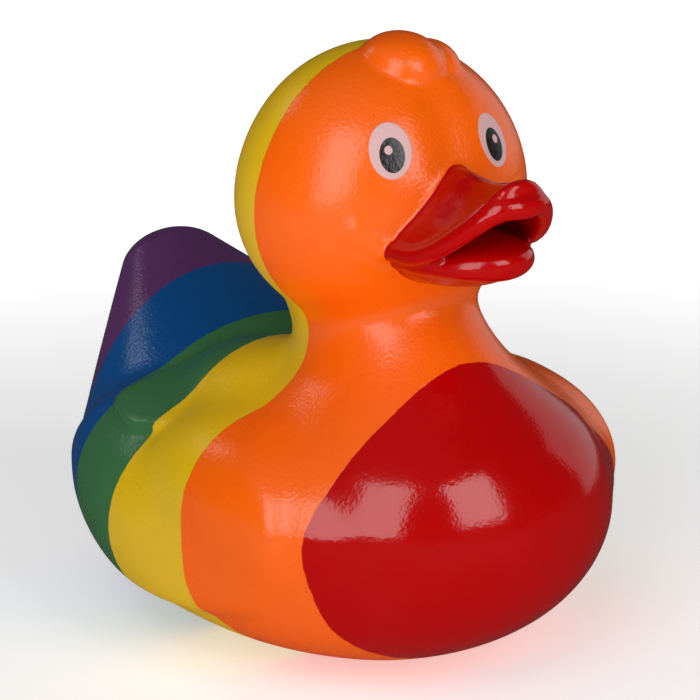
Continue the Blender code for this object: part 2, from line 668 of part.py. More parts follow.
def turn_slivers(bm):
    for _ in range(3):
        slivers = [f for f in bm.faces if f.calc_area() < SLIVER_AREA]
        longest = {max(f.edges, key=lambda e: e.calc_length()) for f in slivers}
        if longest:
            bmesh.ops.rotate_edges(bm, edges=list(longest))


def paint(item, slots):
    bm = bmesh.new()
    bm.from_mesh(item.data)
    split_near(bm, white_level, 0.4, EYE_GRAIN)
    split_near(bm, glint_level, 0.6, GLINT_GRAIN)
    cut_along(bm, beak_level, round_beak)
    cut_along(bm, lambda p: p[1] - ORANGE_YELLOW_Y, lambda p: p[2] > -1.0)
    cut_along(bm, lambda p: p[1] - YELLOW_GREEN_Y, under_head)
    cut_along(bm, lambda p: p[1] - GREEN_BLUE_Y, under_head)
    cut_along(bm, lambda p: p[1] - BLUE_VIOLET_Y, under_head)
    cut_along(bm, lambda p: p[1] - RED_ORANGE_Y, on_chest)
    for side in (1.0, -1.0):
        for level in (white_level, pupil_level, glint_level):
            cut_along(bm, lambda p: level(p, side), lambda p: on_face(p, side))
    bmesh.ops.dissolve_degenerate(bm, edges=bm.edges, dist=0.02 * MM)
    bmesh.ops.triangulate(bm, faces=bm.faces)
    turn_slivers(bm)

    p = np.array([f.calc_center_median() for f in bm.faces]).T
    names = np.full(p.shape[1], "paint_orange", dtype=object)
    names[p[1] > ORANGE_YELLOW_Y] = "vinyl_yellow"
    names[under_head(p) & (p[1] > YELLOW_GREEN_Y)] = "paint_green"
    names[under_head(p) & (p[1] > GREEN_BLUE_Y)] = "paint_blue"
    names[under_head(p) & (p[1] > BLUE_VIOLET_Y)] = "paint_violet"
    names[on_chest(p) & (p[1] < RED_ORANGE_Y)] = "paint_red"
    names[round_beak(p) & (beak_level(p) < 0.0)] = "paint_red"
    names[~on_chest(p) & (p[1] < HEAD_CENTRE[1] - HEAD_RADII[1])] = "paint_red"
    for side in (1.0, -1.0):
        names[on_face(p, side) & (white_level(p, side) < 0.0)] = "print_white"
        names[on_face(p, side) & (pupil_level(p, side) < 0.0)] = "print_black"
        names[on_face(p, side) & (glint_level(p, side) < 0.0)] = "print_white"
    for face, name in zip(bm.faces, names):
        face.material_index = slots[name]
    bm.to_mesh(item.data)
    bm.free()


def build():
    for item in list(bpy.data.objects):
        bpy.data.objects.remove(item, do_unlink=True)
    scene = bpy.context.scene
    duck_set = bpy.data.collections.new("rubber_duck")
    cutters = bpy.data.collections.new("cutters")
    scene.collection.children.link(duck_set)
    scene.collection.children.link(cutters)

    bm = bmesh.new()
    add_plain_masses(bm)
    add_ball(bm, TUFT_CENTRE, TUFT_RADII, TUFT_PITCH)
    add_ball(bm, SIDE_LOCK_CENTRE, SIDE_LOCK_RADII, SIDE_LOCK_PITCH, SIDE_LOCK_YAW)
    add_beak_masses(bm)
    duck = new_object("duck_body", bm, duck_set)
    fuse(duck, ROUGH_CELL)
    worst = draw_onto(duck, outer_surface, 4)
    smooth_mesh(duck, 2)
    worst = draw_onto(duck, outer_surface, 6)
    print("outer surface", len(duck.data.vertices), "points, worst", round(worst * 1000.0, 4))
    thin_out(duck, OUTER_TRIANGLES, detail_weights(duck))
    settle_base(duck)

    slots = {}
    for name, (colour, roughness) in COLOURS.items():
        slots[name] = len(duck.data.materials)
        duck.data.materials.append(make_material(name, colour, roughness))
    paint(duck, slots)

    bm = bmesh.new()
    add_plain_masses(bm, -WALL)
    cavity = new_object("cavity_cutter", bm, cutters)
    fuse(cavity, ROUGH_CELL * 1.6)
    draw_onto(cavity, inner_surface, 5)
    smooth_mesh(cavity, 2)
    draw_onto(cavity, inner_surface, 5)
    thin_out(cavity, INNER_TRIANGLES)
    draw_onto(cavity, inner_surface, 2, 0.2 * MM)

    bm = bmesh.new()
    bmesh.ops.create_cone(bm, cap_ends=True, segments=24, radius1=VENT_DIAMETER / 2.0,
                          radius2=VENT_DIAMETER / 2.0, depth=4.0 * WALL,
                          matrix=Matrix.Translation((BELLY_CENTRE[0], BELLY_CENTRE[1], WALL / 2.0)))
    vent = new_object("vent_cutter", bm, cutters)

    for cutter in (cavity, vent):
        cutter.data.materials.append(duck.data.materials[slots["vinyl_yellow"]])
        cutter.hide_render = True
        cutter.display_type = "WIRE"
        cut = duck.modifiers.new(cutter.name, "BOOLEAN")
        cut.operation = "DIFFERENCE"
        cut.solver = "EXACT"
        cut.object = cutter
        cut.material_mode = "TRANSFER"


build()
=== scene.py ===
"""Rubber bath duck: one hollow vinyl moulding under bands of gloss paint, with printed eyes.

Sizes are in metres. The duck faces -Y, its own left is +X and it stands on z = 0.
"""
from __future__ import annotations

import logging
import math
from collections.abc import Callable
from dataclasses import dataclass, field
from enum import Enum

import bmesh
import bpy
import numpy as np
from mathutils import Matrix, Vector


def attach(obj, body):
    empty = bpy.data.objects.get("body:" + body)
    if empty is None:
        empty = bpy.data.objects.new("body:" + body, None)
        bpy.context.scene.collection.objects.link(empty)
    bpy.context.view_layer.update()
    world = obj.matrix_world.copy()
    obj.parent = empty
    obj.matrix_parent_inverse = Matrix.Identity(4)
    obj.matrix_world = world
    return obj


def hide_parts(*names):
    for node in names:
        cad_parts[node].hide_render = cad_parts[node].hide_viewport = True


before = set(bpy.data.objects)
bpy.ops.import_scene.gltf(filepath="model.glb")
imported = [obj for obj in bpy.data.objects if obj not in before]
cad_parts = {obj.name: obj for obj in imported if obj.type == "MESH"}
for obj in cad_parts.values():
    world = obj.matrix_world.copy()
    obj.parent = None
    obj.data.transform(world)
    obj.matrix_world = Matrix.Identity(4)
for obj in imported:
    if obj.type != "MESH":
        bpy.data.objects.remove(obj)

MM = 0.001
Point = tuple[float, float, float]
Field = Callable[[np.ndarray], np.ndarray]
log = logging.getLogger("rubber_duck")


def mm(*values: float) -> Point:
    """Turns millimetres into a point or a triple of sizes in metres."""
    return tuple(v * MM for v in values)


def blend(a: np.ndarray, b: np.ndarray, width: float) -> np.ndarray:
    """Joins two distance fields with a round fillet.

    Args:
        a: Distances to the first form.
        b: Distances to the second form.
        width: Width of the fillet.

    Returns:
        Distances to the joined form.
    """
    near = np.maximum(width - np.abs(a - b), 0.0) / width
    return np.minimum(a, b) - near ** 3 * width / 6.0


def meet(a: np.ndarray, b: np.ndarray, width: float) -> np.ndarray:
    """Keeps what two forms share, with a rounded edge.

    Args:
        a: Distances to the first form.
        b: Distances to the second form.
        width: Width of the rounding.

    Returns:
        Distances to the shared form.
    """
    return -blend(-a, -b, width)


def ease(t: np.ndarray | float) -> np.ndarray:
    """Runs smoothly from 0 to 1 as t does.

    Args:
        t: Any numbers; they are held between 0 and 1.

    Returns:
        The eased numbers.
    """
    t = np.clip(t, 0.0, 1.0)
    return t * t * (3.0 - 2.0 * t)


@dataclass(frozen=True)
class Lobe:
    """A rounded mass with three radii, tipped about X and turned about Z."""

    centre: Point
    radii: Point
    pitch: float = 0.0
    yaw: float = 0.0
    mirrored: bool = False

    def distance(self, p: np.ndarray) -> np.ndarray:
        """Measures how far points lie outside the mass.

        Args:
            p: Points as three rows.

        Returns:
            Distances, negative inside.
        """
        x = np.abs(p[0]) if self.mirrored else p[0]
        x, y, z = x - self.centre[0], p[1] - self.centre[1], p[2] - self.centre[2]
        c, s = math.cos(math.radians(self.yaw)), math.sin(math.radians(self.yaw))
        x, y = x * c + y * s, -x * s + y * c
        c, s = math.cos(math.radians(self.pitch)), math.sin(math.radians(self.pitch))
        y, z = y * c + z * s, -y * s + z * c
        rx, ry, rz = self.radii
        near = np.sqrt((x / rx) ** 2 + (y / ry) ** 2 + (z / rz) ** 2)
        steep = np.sqrt((x / rx ** 2) ** 2 + (y / ry ** 2) ** 2 + (z / rz ** 2) ** 2)
        return near * (near - 1.0) / np.maximum(steep, 1e-3)

    def add_to(self, bm: bmesh.types.BMesh) -> None:
        """Adds the mass to a mesh as one or two balls.

        Args:
            bm: The mesh that takes them.
        """
        for side in ((1.0, -1.0) if self.mirrored else (1.0,)):
            yaw = Matrix.Rotation(math.radians(self.yaw) * side, 4, "Z")
            pitch = Matrix.Rotation(math.radians(self.pitch), 4, "X")
            place = Matrix.Translation((self.centre[0] * side, self.centre[1], self.centre[2]))
            matrix = place @ yaw @ pitch @ Matrix.Diagonal((*self.radii, 1.0))
            bmesh.ops.create_uvsphere(bm, u_segments=48, v_segments=32, radius=1.0, matrix=matrix)


@dataclass(frozen=True)
class Limb:
    """A round mass that tapers from one radius to another, widened across by a spread."""

    start: Point
    end: Point
    start_radius: float
    end_radius: float
    spread: float = 1.0
    mirrored: bool = False
    segments: int = 40

    def distance(self, p: np.ndarray) -> np.ndarray:
        """Measures how far points lie outside the limb.

        Args:
            p: Points as three rows.

        Returns:
            Distances, negative inside.
        """
        ax, ay, az = (self.end[i] - self.start[i] for i in range(3))
        x = np.abs(p[0]) if self.mirrored else p[0]
        px, py, pz = (x - self.start[0]) / self.spread, p[1] - self.start[1], p[2] - self.start[2]
        length = math.sqrt(ax * ax + ay * ay + az * az)
        along = (px * ax + py * ay + pz * az) / length
        off = np.sqrt(np.maximum(px * px + py * py + pz * pz - along * along, 0.0))
        slope = (self.start_radius - self.end_radius) / length
        level = math.sqrt(1.0 - slope * slope)
        where = level * along - slope * off
        side = off * level + along * slope - self.start_radius
        side = np.where(where < 0.0, np.hypot(off, along) - self.start_radius, side)
        return np.where(where > level * length, np.hypot(off, along - length) - self.end_radius, side)

    def add_to(self, bm: bmesh.types.BMesh) -> None:
        """Adds the limb to a mesh as the hull of its two end balls.

        Args:
            bm: The mesh that takes it.
        """
        for side in ((1.0, -1.0) if self.mirrored else (1.0,)):
            verts = []
            for centre, radius in ((self.start, self.start_radius), (self.end, self.end_radius)):
                place = Matrix.Translation((centre[0] * side, centre[1], centre[2]))
                scale = Matrix.Diagonal((radius * self.spread, radius, radius, 1.0))
                made = bmesh.ops.create_uvsphere(
                    bm, u_segments=self.segments, v_segments=self.segments // 2 + 2,
                    radius=1.0, matrix=place @ scale)
                verts += made["verts"]
            faces = list({f for v in verts for f in v.link_faces})
            bmesh.ops.delete(bm, geom=faces, context="FACES_ONLY")
            hull = bmesh.ops.convex_hull(bm, input=verts)
            unused = hull["geom_interior"] + hull["geom_unused"]
            spare = [v for v in unused if isinstance(v, bmesh.types.BMVert)]
            bmesh.ops.delete(bm, geom=list(set(spare)), context="VERTS")


@dataclass(frozen=True)
class Ledge:
    """A low step along a line in the side view, as a moulded feather edge has.

    The line runs through the corners (y, z), in millimetres.
    """

    corners: tuple[tuple[float, float], ...]
    height: float
    reach: float
    soft: float
    fade: float
    inner_x: float = 8.0 * MM

    def curve(self, steps: int = 5) -> list[np.ndarray]:
        """Draws a smooth line through the corners.

        Args:
            steps: Points for each stretch between two corners.

        Returns:
            The line's points.
        """
        points = [np.array(c) * MM for c in self.corners]
        points = [2 * points[0] - points[1]] + points + [2 * points[-1] - points[-2]]
        out = []
        for a, b, c, d in zip(points[:-3], points[1:-2], points[2:-1], points[3:]):
            for t in np.arange(steps) / steps:
                out.append(0.5 * (2 * b + (c - a) * t + (2 * a - 5 * b + 4 * c - d) * t ** 2
                                  + (3 * b - a - 3 * c + d) * t ** 3))
        return out + [points[-2]]

    def lift(self, p: np.ndarray) -> np.ndarray:
        """Works out how far the step moves the surface in or out.

        Args:
            p: Points as three rows.

        Returns:
            The change of distance, which dies away with distance from the line.
        """
        x, y, z = p
        line = self.curve()
        best, sign, where = np.full(y.shape, 1.0), np.ones(y.shape), np.zeros(y.shape)
        total = sum(float(np.hypot(*(b - a))) for a, b in zip(line[:-1], line[1:]))
        done = 0.0
        for a, b in zip(line[:-1], line[1:]):
            size = float(np.hypot(*(b - a)))
            ey, ez = (b - a) / size
            t = np.clip((y - a[0]) * ey + (z - a[1]) * ez, 0.0, size)
            gap = np.hypot(y - a[0] - ey * t, z - a[1] - ez * t)
            nearer = gap < best
            best = np.where(nearer, gap, best)
            sign = np.where(nearer, np.where(ey * (z - a[1]) - ez * (y - a[0]) > 0.0, 1.0, -1.0), sign)
            where = np.where(nearer, (done + t) / total, where)
            done += size
        step = np.tanh(best * sign / self.soft) * np.exp(-best / self.reach)
        side = ease((np.abs(x) - self.inner_x) / (6.0 * MM))
        return side * self.height * step * ease(where / self.fade) * ease((1.0 - where) / self.fade)


@dataclass(frozen=True)
class Hull:
    """The floating body: belly, chest, both wings and the tail."""

    belly: Lobe = Lobe(mm(0.0, -2.4, 17.2), mm(30.8, 34.6, 18.6))
    chest: Lobe = Lobe(mm(0.0, -18.6, 21.8), mm(24.2, 24.0, 17.3))
    lower_wing: Lobe = Lobe(mm(15.2, 6.0, 18.2), mm(16.3, 25.3, 13.5), 8.4, 13.3, True)
    upper_wing: Lobe = Lobe(mm(8.2, 0.5, 23.1), mm(14.5, 19.6, 14.7), 0.0, 9.4, True)
    shoulder: Lobe = Lobe(mm(17.4, -13.1, 22.4), mm(12.8, 20.0, 11.6), 3.9, -7.1, True)
    tail: Limb = Limb(mm(0.0, 19.6, 19.7), mm(0.0, 36.9, 37.6), 17.4 * MM, 5.8 * MM, 1.39)
    hull_blend: float = 11.2 * MM
    tail_blend: float = 3.5 * MM
    feather_blend: float = 2.0 * MM
    shoulder_blend: float = 4.0 * MM
    wing_blend: float = 1.8 * MM
    feather_edge: Ledge = Ledge(((17.0, 31.2), (15.0, 29.2), (11.0, 28.4), (7.1, 28.2), (2.5, 29.0),
                                 (-0.5, 30.2)), 0.8 * MM, 3.0 * MM, 0.8 * MM, 0.2)
    wing_edge: Ledge = Ledge(((11.3, 34.4), (20.0, 27.1), (24.1, 17.9), (15.3, 10.4), (-1.7, 8.5),
                              (-18.2, 10.9), (-25.5, 18.4), (-24.6, 27.1), (-17.4, 32.7), (-12.7, 34.4)),
                             0.55 * MM, 4.5 * MM, 1.0 * MM, 0.12)

    def masses(self) -> list[Lobe | Limb]:
        """Names the masses that the hull is made of."""
        return [self.belly, self.chest, self.lower_wing, self.upper_wing, self.shoulder, self.tail]

    def distance(self, p: np.ndarray) -> np.ndarray:
        """Measures how far points lie outside the hull.

        Args:
            p: Points as three rows.

        Returns:
            Distances, negative inside.
        """
        d = blend(self.belly.distance(p), self.chest.distance(p), self.hull_blend)
        d = blend(d, self.tail.distance(p), self.tail_blend)
        wing = blend(self.lower_wing.distance(p), self.upper_wing.distance(p), self.feather_blend)
        wing = blend(wing, self.shoulder.distance(p), self.shoulder_blend)
        return blend(d, wing, self.wing_blend) + self.feather_edge.lift(p) + self.wing_edge.lift(p)


@dataclass(frozen=True)
class Head:
    """Neck, skull and cheeks, with the shallow valley between the eyes."""

    neck: Limb = Limb(mm(0.0, -18.9, 33.7), mm(0.0, -9.4, 47.0), 10.9 * MM, 10.89 * MM)
    skull: Lobe = Lobe(mm(0.0, -11.0, 59.9), mm(18.4, 16.0, 17.9))
    cheek: Lobe = Lobe(mm(7.4, -11.2, 57.8), mm(10.7, 10.7, 10.7), 0.0, 0.0, True)
    smile_fold: Limb = Limb(mm(11.6, -22.2, 58.2), mm(9.2, -23.5, 56.0), 1.5 * MM, 1.7 * MM, mirrored=True)
    chin_fold: Limb = Limb(mm(10.9, -22.5, 55.1), mm(8.1, -23.5, 53.6), 0.9 * MM, 0.9 * MM, mirrored=True)
    fold_blend: float = 2.0 * MM
    cheek_blend: float = 6.0 * MM
    head_blend: float = 4.2 * MM
    valley_depth: float = 0.7 * MM
    valley_width: float = 3.2 * MM

    def masses(self) -> list[Lobe | Limb]:
        """Names the masses that the head is made of, with a fuller neck to start from."""
        fuller = Limb(self.neck.start, self.neck.end, self.neck.start_radius + 2.0 * MM, self.neck.end_radius)
        return [fuller, self.skull, self.cheek]

    def face(self, p: np.ndarray) -> np.ndarray:
        """Measures how far points lie outside skull and cheeks.

        Args:
            p: Points as three rows.

        Returns:
            Distances, negative inside.
        """
        x, y, z = p
        d = blend(self.skull.distance(p), self.cheek.distance(p), self.cheek_blend)
        front = ease((-13.7 * MM - y) / (8.0 * MM))
        band = ease((z - 62.0 * MM) / (4.0 * MM)) * ease((76.0 * MM - z) / (4.0 * MM))
        return d + self.valley_depth * np.exp(-(x / self.valley_width) ** 2) * front * band

    def distance(self, p: np.ndarray) -> np.ndarray:
        """Measures how far points lie outside head and neck.

        Args:
            p: Points as three rows.

        Returns:
            Distances, negative inside.
        """
        d = blend(self.neck.distance(p), self.face(p), self.head_blend)
        folds = np.minimum(self.smile_fold.distance(p), self.chin_fold.distance(p))
        return blend(d, folds, self.fold_blend)


@dataclass(frozen=True)
class Tuft:
    """Two locks on the crown with a crease between them."""

    lock: Lobe = Lobe(mm(0.1, -14.9, 75.6), mm(5.2, 5.5, 3.9), 8.0)
    side_lock: Lobe = Lobe(mm(4.9, -14.2, 74.5), mm(3.7, 5.0, 3.3), 8.0, -14.0)
    lock_blend: float = 0.5 * MM

    def masses(self) -> list[Lobe | Limb]:
        """Names the two locks."""
        return [self.lock, self.side_lock]

    def distance(self, p: np.ndarray) -> np.ndarray:
        """Measures how far points lie outside the tuft.

        Args:
            p: Points as three rows.

        Returns:
            Distances, negative inside.
        """
        return blend(self.lock.distance(p), self.side_lock.distance(p), self.lock_blend)


@dataclass(frozen=True)
class BillRim:
    """The thick lip that runs round the edge of one half of the bill."""

    half_width: float
    root_y: float
    length: float
    corner_z: float
    tip_z: float
    corner_radius: float
    tip_radius: float
    rise_from: float
    rise_over: float
    swell_from: float

    def rise(self, angle: np.ndarray | float) -> np.ndarray:
        """Says how far up its climb the lip is.

        Args:
            angle: Degrees round the lip, 0 at the corner of the mouth and 90 at the tip.

        Returns:
            0 at the corner's height to 1 at the tip's.
        """
        return ease((angle - self.rise_from) / self.rise_over)

    def limbs(self, steps: int = 14) -> list[Limb]:
        """Lays short limbs end to end from the corner of the mouth to the tip.

        Args:
            steps: The number of limbs on each side.

        Returns:
            The limbs, each mirrored to the other side.
        """
        points = []
        for i in range(steps + 1):
            angle = math.radians(90.0 * i / steps)
            rise = float(self.rise(90.0 * i / steps))
            swell = float(ease((90.0 * i / steps - self.swell_from) / (90.0 - self.swell_from)))
            radius = self.corner_radius + (self.tip_radius - self.corner_radius) * swell
            points.append(((self.half_width - radius) * math.cos(angle),
                           self.root_y - (self.length - radius) * math.sin(angle),
                           self.corner_z + (self.tip_z - self.corner_z) * rise, radius))
        pairs = zip(points[:-1], points[1:])
        return [Limb(a[:3], b[:3], a[3], b[3], mirrored=True, segments=12) for a, b in pairs]

    def distance(self, p: np.ndarray) -> np.ndarray:
        """Measures how far points lie outside the lip.

        Args:
            p: Points as three rows.

        Returns:
            Distances, negative inside.
        """
        return np.minimum.reduce([limb.distance(p) for limb in self.limbs()])


@dataclass(frozen=True)
class Bill:
    """The open bill: an upper shell, a lower boat with its tongue, and the back of the mouth.

    The ridge is the upper bill's top line in the side view (y, z), in millimetres.
    """

    upper: BillRim = BillRim(9.9 * MM, -24.3 * MM, 16.2 * MM, 55.8 * MM, 62.9 * MM, 1.05 * MM, 1.4 * MM,
                             13.0, 64.0, 30.0)
    crest: BillRim = BillRim(9.4 * MM, -24.3 * MM, 15.0 * MM, 55.9 * MM, 65.2 * MM, 0.7 * MM, 0.8 * MM,
                             12.0, 75.0, 48.0)
    lower: BillRim = BillRim(8.7 * MM, -23.8 * MM, 13.8 * MM, 54.6 * MM, 55.0 * MM, 1.0 * MM, 1.7 * MM,
                             15.0, 60.0, 15.0)
    ridge: tuple[tuple[float, float], ...] = ((-22.5, 65.6), (-25.5, 65.1), (-28.5, 65.1), (-31.5, 64.5),
                                              (-34.5, 64.8), (-37.5, 65.7), (-40.5, 65.4))
    ridge_smoothing: float = 1.4 * MM
    thickness: float = 1.6 * MM
    back_y: float = -16.5 * MM
    boat_depth: float = 4.7 * MM
    boat_pitch: float = -2.5
    tongue_height: float = 2.8 * MM
    tongue_pitch: float = -4.0

    def mouth_back(self) -> Lobe:
        """Makes the mass that closes the back of the mouth."""
        centre = (0.0, self.lower.root_y + 1.0 * MM, self.lower.corner_z + 2.6 * MM)
        return Lobe(centre, mm(8.0, 5.5, 5.0), -20.0)

    def tongue(self) -> Lobe:
        """Makes the tongue, a low mound on the lower bill."""
        rim = self.lower
        return Lobe((0.0, rim.root_y - 1.0 * MM, rim.corner_z + 0.3 * MM),
                    (rim.half_width - 0.9 * MM, rim.length - 1.0 * MM, self.tongue_height),
                    self.tongue_pitch)

    def top(self, x: np.ndarray, y: np.ndarray) -> tuple[np.ndarray, np.ndarray]:
        """Works out the upper bill's top over a point of its plan.

        Args:
            x: Places across the bill.
            y: Places along the bill.

        Returns:
            The heights, and how much longer the slope is than level ground.
        """
        rim, crest = self.upper, self.crest
        s = np.clip((rim.root_y - y) / rim.length, 0.0, 0.9999)
        climb = crest.rise(np.degrees(np.arcsin(s)))
        edge = crest.corner_z + (crest.tip_z - crest.corner_z) * climb - 0.2 * MM
        along, height = np.array(self.ridge).T * MM
        shifts = np.linspace(-self.ridge_smoothing, self.ridge_smoothing, 5)
        ridge = np.mean([np.interp(shift - y, -along, height) for shift in shifts], axis=0)
        half = np.maximum(rim.half_width * np.sqrt(1.0 - s * s) - 1.6 * MM, 1.2 * MM)
        across = np.clip((np.hypot(x, 2.0 * MM) - 2.0 * MM) / half, 0.0, 1.3)
        return ridge + (edge - ridge) * across, np.sqrt(1.0 + ((edge - ridge) / half) ** 2)

    def upper_distance(self, p: np.ndarray) -> np.ndarray:
        """Measures how far points lie outside the upper bill.

        Args:
            p: Points as three rows.

        Returns:
            Distances, negative inside.
        """
        x, y, z = p
        top, steep = self.top(x, y)
        slab = meet((z - top) / steep, (top - self.thickness - z) / steep, 1.0 * MM)
        ahead = np.minimum(y - self.upper.root_y, 0.0) / self.upper.length
        plan = (np.hypot(x / self.upper.half_width, ahead) - 1.0) * 9.0 * MM
        slab = meet(slab, plan + 1.2 * MM, 1.0 * MM)
        slab = meet(slab, y - self.back_y, 1.0 * MM)
        return blend(slab, blend(self.upper.distance(p), self.crest.distance(p), 1.2 * MM), 1.0 * MM)

    def lower_distance(self, p: np.ndarray) -> np.ndarray:
        """Measures how far points lie outside the lower bill.

        Args:
            p: Points as three rows.

        Returns:
            Distances, negative inside.
        """
        y, z = p[1], p[2]
        rim = self.lower
        boat = Lobe((0.0, rim.root_y - 0.5 * MM, rim.corner_z + 0.6 * MM),
                    (rim.half_width - 0.4 * MM, rim.length - 1.2 * MM, self.boat_depth),
                    self.boat_pitch).distance(p)
        rise = (rim.tip_z - rim.corner_z) * ease((rim.root_y - y) / rim.length)
        boat = meet(boat, z - (rim.corner_z + 0.4 * MM + rise), 1.0 * MM)
        return blend(blend(boat, rim.distance(p), 1.0 * MM), self.tongue().distance(p), 0.6 * MM)

    def distance(self, p: np.ndarray) -> np.ndarray:
        """Measures how far points lie outside the whole bill.

        Args:
            p: Points as three rows.

        Returns:
            Distances, negative inside, and one centimetre where the bill is far.
        """
        near = (p[1] < -12.5 * MM) & (p[2] > 46.0 * MM) & (p[2] < 71.0 * MM)
        out = np.full(p.shape[1], 10.0 * MM)
        q = p[:, near]
        d = blend(self.upper_distance(q), self.lower_distance(q), 0.5 * MM)
        out[near] = blend(d, self.mouth_back().distance(q), 0.8 * MM)
        return out

    def add_to(self, bm: bmesh.types.BMesh) -> None:
        """Adds rough masses for both halves of the bill to a mesh.

        Args:
            bm: The mesh that takes them.
        """
        made = bmesh.ops.create_grid(bm, x_segments=24, y_segments=24, size=1.0)
        tip_y = self.upper.root_y - self.upper.length + 1.4 * MM
        for vert in made["verts"]:
            y = self.back_y + (tip_y - self.back_y) * (1.0 - vert.co.y) / 2.0
            s = min(max((self.upper.root_y - y) / (self.upper.length - 1.3 * MM), 0.0), 0.97)
            x = vert.co.x * (self.upper.half_width - 1.3 * MM) * math.sqrt(1.0 - s * s)
            vert.co = (x, y, float(self.top(np.array([x]), np.array([y]))[0][0]))
        faces = list({f for v in made["verts"] for f in v.link_faces})
        under = bmesh.ops.extrude_face_region(bm, geom=faces, use_keep_orig=True)
        verts = [v for v in under["geom"] if isinstance(v, bmesh.types.BMVert)]
        bmesh.ops.translate(bm, verts=verts, vec=(0.0, 0.0, -self.thickness))
        sheet = list({f for v in made["verts"] + verts for f in v.link_faces})
        bmesh.ops.recalc_face_normals(bm, faces=sheet)
        for limb in self.upper.limbs() + self.crest.limbs() + self.lower.limbs():
            limb.add_to(bm)
        rim = self.lower
        keel = Lobe((0.0, rim.root_y - 0.5 * MM, rim.corner_z - 1.2 * MM),
                    (rim.half_width - 0.8 * MM, rim.length - 1.6 * MM, 3.2 * MM), self.boat_pitch)
        for mass in (keel, self.tongue(), self.mouth_back()):
            mass.add_to(bm)


@dataclass(frozen=True)
class Eye:
    """One printed eye: a white oval, a pupil set low in it and a glint.

    The side is 1 for the duck's left and -1 for its right.
    """

    side: float
    x: float
    z: float
    width: float = 5.2 * MM
    height: float = 6.3 * MM
    pupil_width: float = 3.1 * MM
    pupil_height: float = 3.95 * MM
    pupil_drop: float = 0.45 * MM
    pupil_in: float = 0.15 * MM
    glint: float = 0.98 * MM
    glint_out: float = 0.27 * MM
    glint_up: float = 0.15 * MM
    turn: float = 22.0

    def depth(self, head: Head) -> float:
        """Finds where the eye's middle lies on the face.

        Args:
            head: The head that carries it.

        Returns:
            The y of the eye's middle.
        """
        y = np.linspace(-32.0 * MM, -16.0 * MM, 321)
        d = head.face(np.array([np.full(y.shape, self.x * self.side), y, np.full(y.shape, self.z)]))
        return float(y[np.argmin(np.abs(d))])


class Mesher:
    """Turns rough masses into a fine skin that lies on a distance field."""

    def __init__(self, surface: Field, cell: float) -> None:
        """Keeps the field and the size of the skin's squares.

        Args:
            surface: The distance field.
            cell: The side of a square.
        """
        self.surface = surface
        self.cell = cell

    def fuse(self, item: bpy.types.Object) -> None:
        """Joins the rough masses into one closed skin.

        Args:
            item: The object that holds them.
        """
        remesh = item.modifiers.new("fuse", "REMESH")
        remesh.mode = "VOXEL"
        remesh.voxel_size = self.cell
        apply_modifiers(item)

    def draw_on(self, item: bpy.types.Object, rounds: int) -> float:
        """Moves each point of the skin along the field's slope until it lies on it.

        Args:
            item: The object whose mesh moves.
            rounds: The number of steps.

        Returns:
            The largest distance that is left.
        """
        flat = np.empty(len(item.data.vertices) * 3)
        item.data.vertices.foreach_get("co", flat)
        p = flat.reshape(-1, 3).T.copy()
        h = 0.02 * MM
        for _ in range(rounds):
            d = self.surface(p)
            slope = np.empty_like(p)
            for axis in range(3):
                step = np.zeros((3, 1))
                step[axis] = h
                slope[axis] = (self.surface(p + step) - d) / h
            move = -slope * d / np.maximum((slope ** 2).sum(0), 0.25)
            far = np.sqrt((move ** 2).sum(0))
            p += move * np.minimum(1.0, 0.6 * MM / np.maximum(far, 1e-9))
        item.data.vertices.foreach_set("co", p.T.reshape(-1))
        item.data.update()
        return float(np.abs(self.surface(p)).max())

    def relax(self, item: bpy.types.Object, repeat: int) -> None:
        """Evens out the skin's squares.

        Args:
            item: The object whose mesh is smoothed.
            repeat: The number of passes.
        """
        bm = bmesh.new()
        bm.from_mesh(item.data)
        for _ in range(repeat):
            bmesh.ops.smooth_vert(bm, verts=bm.verts, factor=0.5, use_axis_x=True,
                                  use_axis_y=True, use_axis_z=True)
        bm.to_mesh(item.data)
        bm.free()


def apply_modifiers(item: bpy.types.Object) -> None:
    """Replaces an object's mesh by what its modifiers make of it.

    Args:
        item: The object.
    """
    depsgraph = bpy.context.evaluated_depsgraph_get()
    mesh = bpy.data.meshes.new_from_object(item.evaluated_get(depsgraph), depsgraph=depsgraph)
    item.modifiers.clear()
    old, item.data = item.data, mesh
    bpy.data.meshes.remove(old)


def new_object(name: str, bm: bmesh.types.BMesh) -> bpy.types.Object:
    """Makes a scene object from a finished bmesh.

    Args:
        name: The object's name.
        bm: The mesh, which is freed.

    Returns:
        The object, at the origin.
    """
    mesh = bpy.data.meshes.new(name)
    bm.to_mesh(mesh)
    bm.free()
    item = bpy.data.objects.new(name, mesh)
    bpy.context.scene.collection.objects.link(item)
    return item


class Band(Enum):
    """The paint bands from front to back."""

    RED = "red"
    ORANGE = "orange"
    YELLOW = "yellow"
    GREEN = "green"
    BLUE = "blue"
    VIOLET = "violet"


@dataclass(frozen=True)
class BandPlan:
    """Where one paint meets the next, as planes across the duck's length."""

    red_to_orange: float = -28.3 * MM
    orange_to_yellow: float = -11.4 * MM
    yellow_to_green: float = 2.9 * MM
    green_to_blue: float = 15.2 * MM
    blue_to_violet: float = 27.2 * MM
    chest_top_z: float = 44.0 * MM
    head_low_z: float = 46.0 * MM


